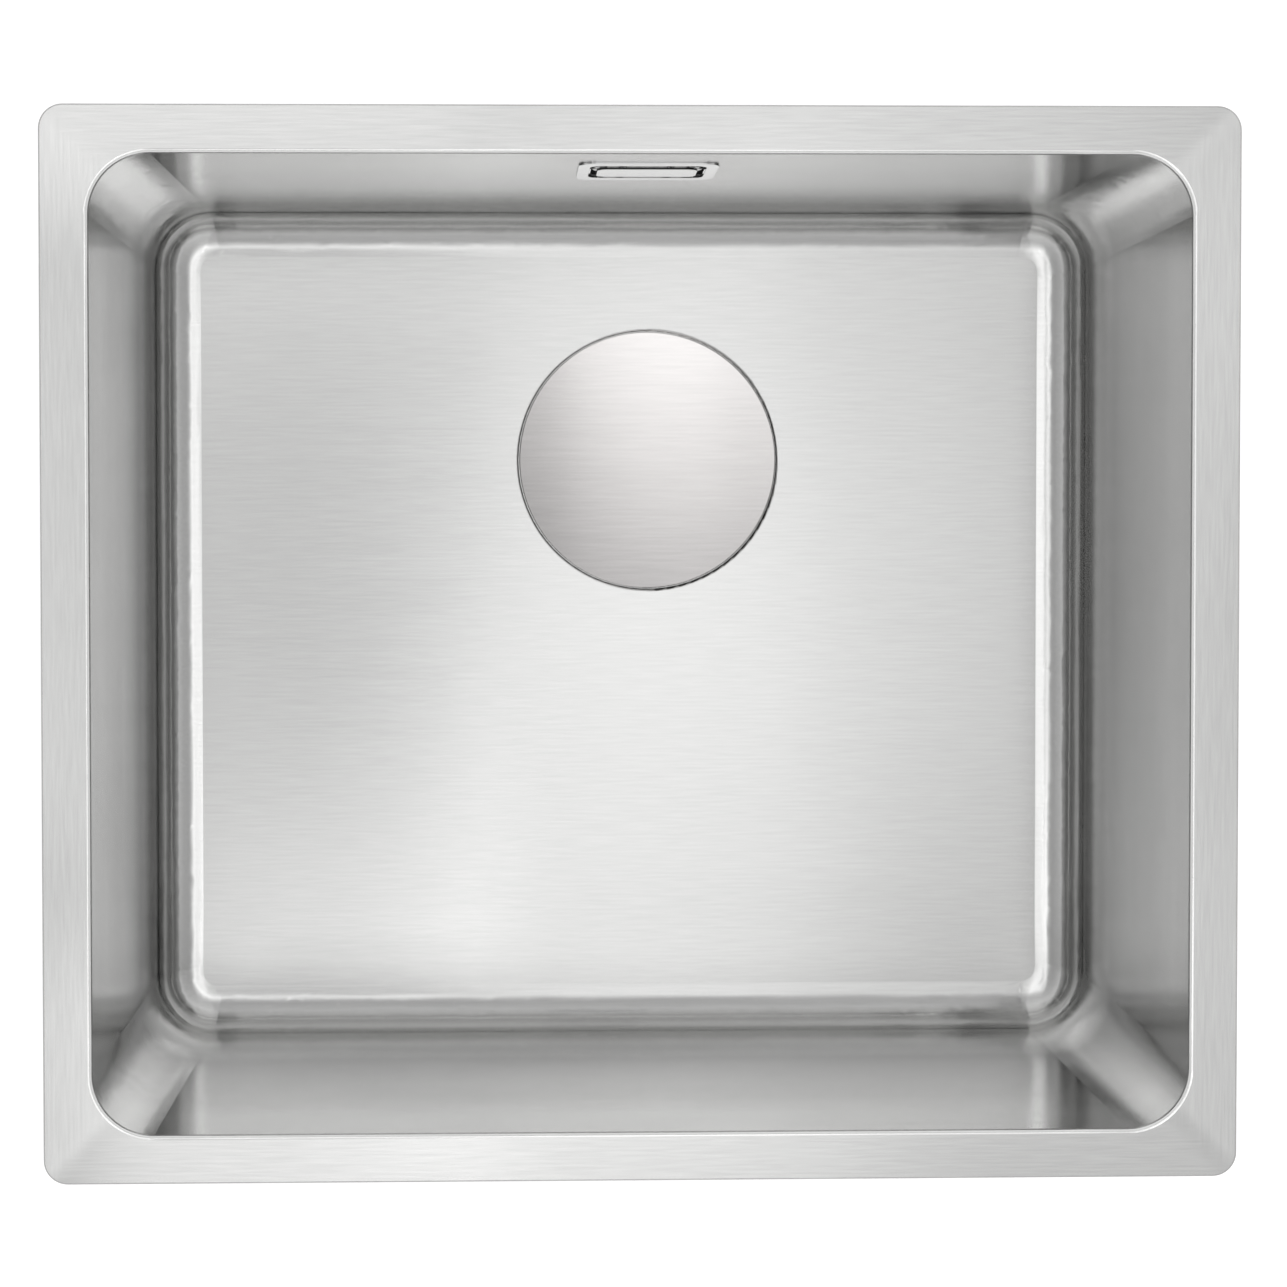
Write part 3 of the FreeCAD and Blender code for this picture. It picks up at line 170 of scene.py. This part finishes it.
class Surface:
    """A material under construction, with short calls for the nodes that it is made of."""

    def __init__(self, name):
        self.material = bpy.data.materials.new(name)
        self.material.use_nodes = True
        self.tree = self.material.node_tree
        self.shader = self.tree.nodes["Principled BSDF"]
        self.here = self.node("ShaderNodeTexCoord").outputs["Object"]

    def node(self, kind, inputs=None, **settings):
        """A new node with its settings, and with its inputs linked or given values."""
        made = self.tree.nodes.new(kind)
        for key, value in settings.items():
            setattr(made, key, value)
        for key, value in (inputs or {}).items():
            self.put(made.inputs[key], value)
        return made

    def put(self, socket, value):
        """Link a socket to an output, or give it a number or colour."""
        if isinstance(value, bpy.types.NodeSocket):
            self.tree.links.new(value, socket)
        else:
            socket.default_value = value

    def set(self, **inputs):
        """Link or set the shader's own sockets, such as base_color."""
        for key, value in inputs.items():
            self.put(self.shader.inputs[key.replace("_", " ").title()], value)

    def math(self, operation, first, second=0.0):
        return self.node("ShaderNodeMath", {0: first, 1: second}, operation=operation).outputs[0]

    def product(self, *values):
        return functools.reduce(lambda first, second: self.math("MULTIPLY", first, second), values)

    def total(self, *values):
        return functools.reduce(lambda first, second: self.math("ADD", first, second), values)

    def inverse(self, share):
        return self.math("SUBTRACT", 1.0, share)

    def vector(self, operation, first, second=(0, 0, 0)):
        return self.node("ShaderNodeVectorMath", {0: first, 1: second}, operation=operation)

    def split(self, vector):
        return tuple(self.node("ShaderNodeSeparateXYZ", {0: vector}).outputs)

    def noise(self, scale, detail=3.0):
        """Noise with a scale for each axis, in cells per metre, whose middle is spread over 0 to 1."""
        spread = self.node("ShaderNodeMapping", {"Vector": self.here, "Scale": scale})
        made = self.node("ShaderNodeTexNoise", {"Vector": spread.outputs[0], "Scale": 1.0, "Detail": detail})
        return self.span(made.outputs["Fac"], 0.0, 1.0, 0.3, 0.7)

    def clouds(self, cells, detail=3.0):
        """Noise that is the same along each axis."""
        return self.noise((cells, cells, cells), detail)

    def blend(self, share, first, second):
        return self.node("ShaderNodeMix", {0: share, 2: first, 3: second}).outputs[0]

    def tint(self, share, first, second):
        made = self.node("ShaderNodeMix", data_type="RGBA")
        self.put(made.inputs[0], share)
        self.put(made.inputs[6], (*first, 1))
        self.put(made.inputs[7], (*second, 1))
        return made.outputs[2]

    def span(self, value, low, high, start, end):
        """A value between start and end carried over to a range from low to high."""
        limits = {"Value": value, "From Min": start, "From Max": end, "To Min": low, "To Max": high}
        return self.node("ShaderNodeMapRange", limits).outputs[0]

    def stray(self, share, middle, by):
        """A number that strays from its middle by a share of it, both ways."""
        return self.span(share, middle * (1 - by), middle * (1 + by), 0.0, 1.0)

    def shaded(self, colour, factor):
        """A colour made lighter or darker by a factor."""
        made = self.node("ShaderNodeVectorMath", {0: colour}, operation="SCALE")
        self.put(made.inputs["Scale"], factor)
        return made.outputs[0]

    def bump(self, height, strength, distance, normal=None):
        made = self.node("ShaderNodeBump", {"Height": height, "Strength": strength, "Distance": distance})
        if normal:
            self.put(made.inputs["Normal"], normal)
        self.set(normal=made.outputs[0])


def brush_lines(steel, turned, along, across):
    """Brush marks along X, or along Y where turned is 1, in marks per metre along and across the brush."""
    ahead = steel.noise((along, across, across), 4.0)
    sideways = steel.noise((across, along, across), 4.0)
    return steel.blend(turned, ahead, sideways)


def side_band_share(steel, x, y, z):
    """1 on the rim's left and right bands, mitred into 0 on its front and back bands and off the rim."""
    past_side = steel.math("SUBTRACT", steel.math("ABSOLUTE", x), RIM_HALF[0])
    past_back = steel.math("SUBTRACT", steel.math("ABSOLUTE", y), RIM_HALF[1])
    nearer = steel.math("SUBTRACT", past_side, past_back)
    mitred = steel.span(nearer, 0.0, 1.0, -MITRE_BLEND, MITRE_BLEND)
    return steel.product(mitred, steel.math("GREATER_THAN", z, RIM_LEVEL))


def outward_reach(steel, facing, place):
    """Above 0 on faces that look away from the bowl's middle, and below 0 on those that look towards it."""
    return steel.total(steel.product(facing[0], place[0]), steel.product(facing[1], place[1]))


def outside_share(steel, facing, place):
    """1 on the bowl's outside and the rim's underside, which are left as they come from the press."""
    walls = steel.span(outward_reach(steel, facing, place), 0.0, 1.0, 0.0, 0.05)
    under = steel.span(facing[2], 1.0, 0.0, *UNDER_FACING)
    below_rim = steel.math("LESS_THAN", place[2], RIM_LEVEL)
    return steel.product(steel.math("MAXIMUM", walls, under), below_rim)


def foot_highlight_share(steel, facing, z):
    """1 along the foot of the side walls, where a highlight line is painted on the bend into the floor."""
    sideways = steel.math("ABSOLUTE", facing[0])
    starts = steel.span(sideways, 0.0, 1.0, *FOOT_START)
    ends = steel.span(sideways, 1.0, 0.0, *FOOT_END)
    deep = steel.math("LESS_THAN", z, BOWL_FLOOR / 2)
    upward = steel.math("GREATER_THAN", facing[2], 0.5)
    return steel.product(starts, ends, deep, upward)


def mouth_highlight_share(steel, facing, place):
    """1 on the upper part of the bowl's rolled mouth, where a highlight line is painted."""
    inward = steel.math("LESS_THAN", outward_reach(steel, facing, place), 0.0)
    starts = steel.span(facing[2], 0.0, 1.0, *MOUTH_START)
    ends = steel.span(facing[2], 1.0, 0.0, *MOUTH_END)
    on_rim = steel.math("GREATER_THAN", place[2], RIM_LEVEL)
    return steel.product(inward, starts, ends, on_rim)


def painted_shade_by_height(steel, z, lowest, foot, dark_low, dark_high, top):
    """Painted shade by height: 1 below the foot, the lowest tone between the two dark levels, and the painted
    lighter top tone above the top.
    """
    from_foot = steel.span(z, 1.0, lowest, foot, dark_low)
    to_top = steel.span(z, lowest, TOP_PAINTED_LIGHT, dark_high, top)
    return steel.math("MAXIMUM", from_foot, to_top)


def painted_wall_shading(steel, facing, z):
    """Painted shade and light on upright faces: darker towards their foot, and painted paler on the back and front
    walls.
    """
    least, most = FRONT_FACING
    on_back = steel.span(facing[1], 1.0, 0.0, -most, -least)
    on_front = steel.span(facing[1], 0.0, 1.0, least, most)
    painted_wall_light = steel.total(UPRIGHT_PAINTED_SHADE, steel.product(on_back, BACK_PAINTED_LIGHT), steel.product(on_front, FRONT_PAINTED_LIGHT))
    painted_side_shade = painted_shade_by_height(steel, z, *SIDE_PAINTED_SHADE)
    back = painted_shade_by_height(steel, z, *BACK_PAINTED_SHADE)
    return steel.product(steel.blend(on_back, painted_side_shade, back), painted_wall_light)


def brushed_steel(name, tone, roughness, stretch, grain, polish=1.0, press=None, crown=None):
    """Steel brushed along X, and along Y on the rim's side bands, with reflections drawn out across it.

    polish is the roughness of the lower walls as a share of that of flat faces. press is the tone, as a
    share, and the roughness of the outside. crown is for a plate that the press left slightly curved:
    its middle, its slope per metre and how much lighter a painted sheen makes it per metre, the last two along
    each axis.
    """
    steel = Surface(name)
    normal = steel.node("ShaderNodeNewGeometry").outputs["Normal"]
    facing = steel.split(normal)
    place = steel.split(steel.here)
    side_band = side_band_share(steel, *place)
    side_wall = steel.span(steel.math("ABSOLUTE", facing[0]), 0.0, 1.0, *SIDE_FACING)
    flat = steel.span(steel.math("ABSOLUTE", facing[2]), 0.0, 1.0, *FLAT_FACING)
    turned = steel.math("MAXIMUM", side_band, side_wall)

    scratches = brush_lines(steel, turned, *SCRATCHES)
    streaks = brush_lines(steel, turned, *STREAKS)
    clouds = steel.clouds(STEEL_CLOUDS)
    marks = steel.math("SUBTRACT", steel.blend(STREAK_SHARE, scratches, streaks), 0.5)
    on_rim = steel.math("GREATER_THAN", place[2], RIM_LEVEL)
    grained = steel.product(marks, steel.blend(on_rim, grain, grain * RIM_GRAIN))
    # Painted highlight lines along the foot of the side walls and along the mouth
    painted_foot_highlight = steel.product(foot_highlight_share(steel, facing, place[2]), FOOT_PAINTED_HIGHLIGHT)
    painted_mouth_highlight = steel.product(mouth_highlight_share(steel, facing, place), MOUTH_PAINTED_HIGHLIGHT)
    # Painted shade on upright faces, darker towards their foot, with painted light on the back and front walls
    painted_wall_shade = steel.blend(flat, painted_wall_shading(steel, facing, place[2]), 1.0)
    shade = steel.total(painted_wall_shade, painted_foot_highlight, painted_mouth_highlight, grained)
    worn = steel.span(place[2], roughness * polish, roughness, *WORN_LEVELS)
    uneven = steel.stray(steel.blend(0.5, streaks, clouds), 1.0, ROUGHNESS_STRAY)
    rough = steel.product(steel.blend(flat, worn, roughness), uneven)
    if press:
        press_tone, press_roughness = press
        outside = outside_share(steel, facing, place)
        dull = steel.stray(clouds, press_tone, PRESS_STRAY)
        shade = steel.blend(outside, shade, steel.total(dull, grained))
        rough = steel.blend(outside, rough, steel.product(uneven, press_roughness))
    if crown:
        middle, slope, paler = crown
        out = steel.vector("SUBTRACT", steel.here, middle).outputs[0]
        lean = steel.vector("MULTIPLY", out, slope).outputs[0]
        normal = steel.vector("NORMALIZE", steel.vector("ADD", normal, lean).outputs[0]).outputs[0]
        # Painted sheen: the tone grows lighter per metre along each axis
        shade = steel.total(shade, steel.vector("DOT_PRODUCT", out, paler).outputs["Value"])
    steel.set(base_color=steel.shaded(tone, shade), roughness=rough)
    steel.bump(scratches, SCRATCH_STRENGTH, SCRATCH_DEPTH, normal)
    across = steel.node("ShaderNodeCombineXYZ", {"X": side_band, "Y": steel.inverse(turned), "Z": side_wall})
    steel.set(tangent=across.outputs[0], metallic=1.0, anisotropic=stretch)
    return steel.material


def plated(name, tone, other_tone, roughness):
    """Plated or turned metal: cloudy between two tones, with fine specks and an uneven gloss."""
    metal = Surface(name)
    clouds = metal.clouds(PLATING_CLOUDS, 4.0)
    specks = metal.clouds(PLATING_SPECKS, 2.0)
    metal.set(base_color=metal.tint(clouds, tone, other_tone), metallic=1.0)
    gloss = metal.blend(SPECK_SHARE, clouds, specks)
    metal.set(roughness=metal.stray(gloss, roughness, PLATING_STRAY))
    metal.bump(specks, strength=0.25, distance=0.00005)
    return metal.material


def moulded(name, tone, worn_tone, roughness, grain_cells, depth):
    """Moulded plastic or rubber: a pebbled grain, a cloudy tone and a paler bloom in patches."""
    skin = Surface(name)
    grain = skin.clouds(grain_cells)
    clouds = skin.clouds(MOULDING_CLOUDS, 4.0)
    bloom = skin.product(clouds, skin.span(grain, 0.6, 1.0, 0.0, 1.0))
    skin.set(base_color=skin.tint(bloom, tone, worn_tone))
    skin.set(roughness=skin.stray(bloom, roughness, MOULDING_STRAY))
    skin.bump(grain, strength=0.5, distance=depth)
    return skin.material


# The cover's middle, its slope per metre as a slight saddle, and how much lighter a painted sheen makes it per
# metre
cover_low, cover_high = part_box("drain_cover")
COVER_MIDDLE = tuple((low + high) / 2 for low, high in zip(cover_low, cover_high))
COVER_SLOPE = (0.8, -1.6, 0.0)
COVER_PAINTED_SHEEN = (2.4, 4.5, 0.0)

MATERIALS = {
    "bowl_steel": brushed_steel(
        "bowl_steel", (0.62, 0.62, 0.615), roughness=0.22, stretch=0.7, grain=0.065,
        polish=0.45, press=(0.8, 0.38),
    ),
    "cover_steel": brushed_steel(
        "cover_steel", (0.575, 0.56, 0.555), roughness=0.2, stretch=0.5, grain=0.07,
        crown=(COVER_MIDDLE, COVER_SLOPE, COVER_PAINTED_SHEEN),
    ),
    "waste_steel": brushed_steel("waste_steel", (0.6, 0.6, 0.6), roughness=0.25, stretch=0.3, grain=0.06),
    "overflow_steel": brushed_steel(
        "overflow_steel", (0.62, 0.62, 0.62), roughness=0.12, stretch=0.3, grain=0.04,
    ),
    "clip_steel": plated("clip_steel", (0.5, 0.52, 0.56), (0.6, 0.585, 0.53), roughness=0.34),
    "clamp_brass": plated("clamp_brass", (0.68, 0.5, 0.24), (0.75, 0.6, 0.34), roughness=0.3),
    "black_rubber": moulded(
        "black_rubber", (0.022, 0.022, 0.023), (0.045, 0.044, 0.043),
        roughness=0.75, grain_cells=1500, depth=0.00008,
    ),
    "pad_rubber": moulded(
        "pad_rubber", (0.065, 0.065, 0.07), (0.12, 0.12, 0.122),
        roughness=0.85, grain_cells=500, depth=0.0003,
    ),
    "grey_plastic": moulded(
        "grey_plastic", (0.27, 0.28, 0.29), (0.36, 0.365, 0.37),
        roughness=0.48, grain_cells=1200, depth=0.00012,
    ),
    "black_plastic": moulded(
        "black_plastic", (0.035, 0.035, 0.036), (0.06, 0.06, 0.06),
        roughness=0.42, grain_cells=1200, depth=0.00012,
    ),
}


def dress_nodes():
    """Each solid's mesh gets the material of its slot."""
    for part in frame["record"]["subparts"]:
        piece = frame["nodes"][part["node"]]
        piece.data.materials.clear()
        piece.data.materials.append(MATERIALS[part["material_slot"]])


def thread_radius(turn, height):
    """The thread's radius at a share of a turn and a height: root, crest and root again in each pitch."""
    share = (height / THREAD_PITCH + turn) % 1.0
    return THREAD_ROOT + (THREAD_CREST - THREAD_ROOT) * (1 - abs(2 * share - 1))


def stud_levels(low, high):
    """Heights down a stud, each with the radius on every side: head, neck, thread and tapered tip."""
    shoulder = high - STUD_HEAD_H
    start = shoulder - STUD_NECK
    step = THREAD_PITCH / ROWS_PER_PITCH
    plain = [(high, STUD_HEAD_R), (shoulder, STUD_HEAD_R), (shoulder, THREAD_CREST), (start, THREAD_CREST)]
    levels = [(height, [radius] * STUD_SIDES) for height, radius in plain]
    for row in range(1, int((start - STUD_TIP - low) / step) + 1):
        height = start - row * step
        levels.append((height, [thread_radius(side / STUD_SIDES, height) for side in range(STUD_SIDES)]))
    levels.append((low, [STUD_TIP_R] * STUD_SIDES))
    return levels


def add_stud(mesh, x, y, levels):
    """One stud on an upright axis: rings of points joined by quads and closed at both ends."""
    rings = []
    for height, radii in levels:
        ring = []
        for side, radius in enumerate(radii):
            angle = math.tau * side / STUD_SIDES
            ring.append(mesh.verts.new((x + radius * math.cos(angle), y + radius * math.sin(angle), height)))
        rings.append(ring)
    for upper, lower in zip(rings, rings[1:]):
        for side in range(STUD_SIDES):
            after = (side + 1) % STUD_SIDES
            mesh.faces.new((upper[side], lower[side], lower[after], upper[after]))
    mesh.faces.new(rings[0])
    mesh.faces.new(rings[-1][::-1])


def make_studs():
    """Threaded studs on the axes of the nuts, in the place of the plain ones."""
    low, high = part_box("clip_studs")
    levels = stud_levels(low[2], high[2])
    mesh = bmesh.new()
    for joint in frame["joints"]:
        if joint["type"] == "hinge":
            add_stud(mesh, joint["pos_m"][0], joint["pos_m"][1], levels)
    data = bpy.data.meshes.new("threaded_studs")
    mesh.to_mesh(data)
    mesh.free()
    data.materials.append(MATERIALS["clip_steel"])
    studs = bpy.data.objects.new("threaded_studs", data)
    bpy.context.collection.objects.link(studs)
    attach(studs, "sink")
    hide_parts("clip_studs")


def make_floor():
    """A pale floor that looks white to the camera and in reflections, and keeps the sink's shadow."""
    bpy.ops.mesh.primitive_plane_add(size=FLOOR_SIZE, location=(0, 0, cad_box[0][2]))
    floor = bpy.context.object
    floor.name = "floor"
    pale = Surface("floor")
    pale.set(base_color=pale.tint(pale.clouds(FLOOR_CLOUDS), *FLOOR_TONES), roughness=FLOOR_ROUGHNESS)
    path = pale.node("ShaderNodeLightPath")
    seen = pale.math("MAXIMUM", path.outputs["Is Camera Ray"], path.outputs["Is Glossy Ray"])
    seen = pale.math("MAXIMUM", seen, path.outputs["Is Transmission Ray"])
    pale.set(emission_color=WHITE, emission_strength=pale.product(seen, FLOOR_GLOW))
    floor.data.materials.append(pale.material)


def make_world():
    """A soft dome of light whose brightness changes with the height of the direction alone."""
    world = bpy.data.worlds.new("studio")
    bpy.context.scene.world = world
    world.use_nodes = True
    tree = world.node_tree
    way = tree.nodes.new("ShaderNodeTexCoord")
    split = tree.nodes.new("ShaderNodeSeparateXYZ")
    tree.links.new(way.outputs["Generated"], split.inputs[0])
    curve = tree.nodes.new("ShaderNodeFloatCurve")
    points = curve.mapping.curves[0].points
    for height, share in DOME[1:-1]:
        points.new(height, share)
    points[0].location = DOME[0]
    points[-1].location = DOME[-1]
    curve.mapping.update()
    tree.links.new(split.outputs[2], curve.inputs["Value"])
    strength = tree.nodes.new("ShaderNodeMath")
    strength.operation = "MULTIPLY"
    strength.inputs[1].default_value = DOME_PEAK
    tree.links.new(curve.outputs[0], strength.inputs[0])
    tree.links.new(strength.outputs[0], tree.nodes["Background"].inputs["Strength"])
    tree.nodes["Background"].inputs["Color"].default_value = WHITE


def make_panel(name, at, size, radiance):
    """A soft panel that looks straight down."""
    lamp = bpy.data.lights.new(name, "AREA")
    lamp.shape = "RECTANGLE"
    lamp.size, lamp.size_y = size
    lamp.energy = radiance * math.pi * size[0] * size[1]
    holder = bpy.data.objects.new(name, lamp)
    bpy.context.collection.objects.link(holder)
    holder.location = (*at, PANEL_HEIGHT)
    holder.visible_camera = False


def make_camera():
    """The photograph's camera, with its axis a little off the middle of the frame."""
    lens = bpy.data.cameras.new("camera")
    camera = bpy.data.objects.new("camera", lens)
    bpy.context.collection.objects.link(camera)
    camera.location = CAMERA_AT
    camera.rotation_euler = [math.radians(turn) for turn in CAMERA_TURN_DEG]
    lens.sensor_width = SENSOR_MM
    lens.lens = SENSOR_MM * FOCAL_PX / IMAGE_PX
    lens.shift_x = 0.5 - AXIS_PX[0] / IMAGE_PX
    lens.shift_y = AXIS_PX[1] / IMAGE_PX - 0.5
    bpy.context.scene.camera = camera


dress_nodes()
make_studs()
make_floor()
make_world()
for name, panel in PANELS.items():
    make_panel(name, *panel)
make_camera()
bpy.context.scene.view_settings.view_transform = "Standard"
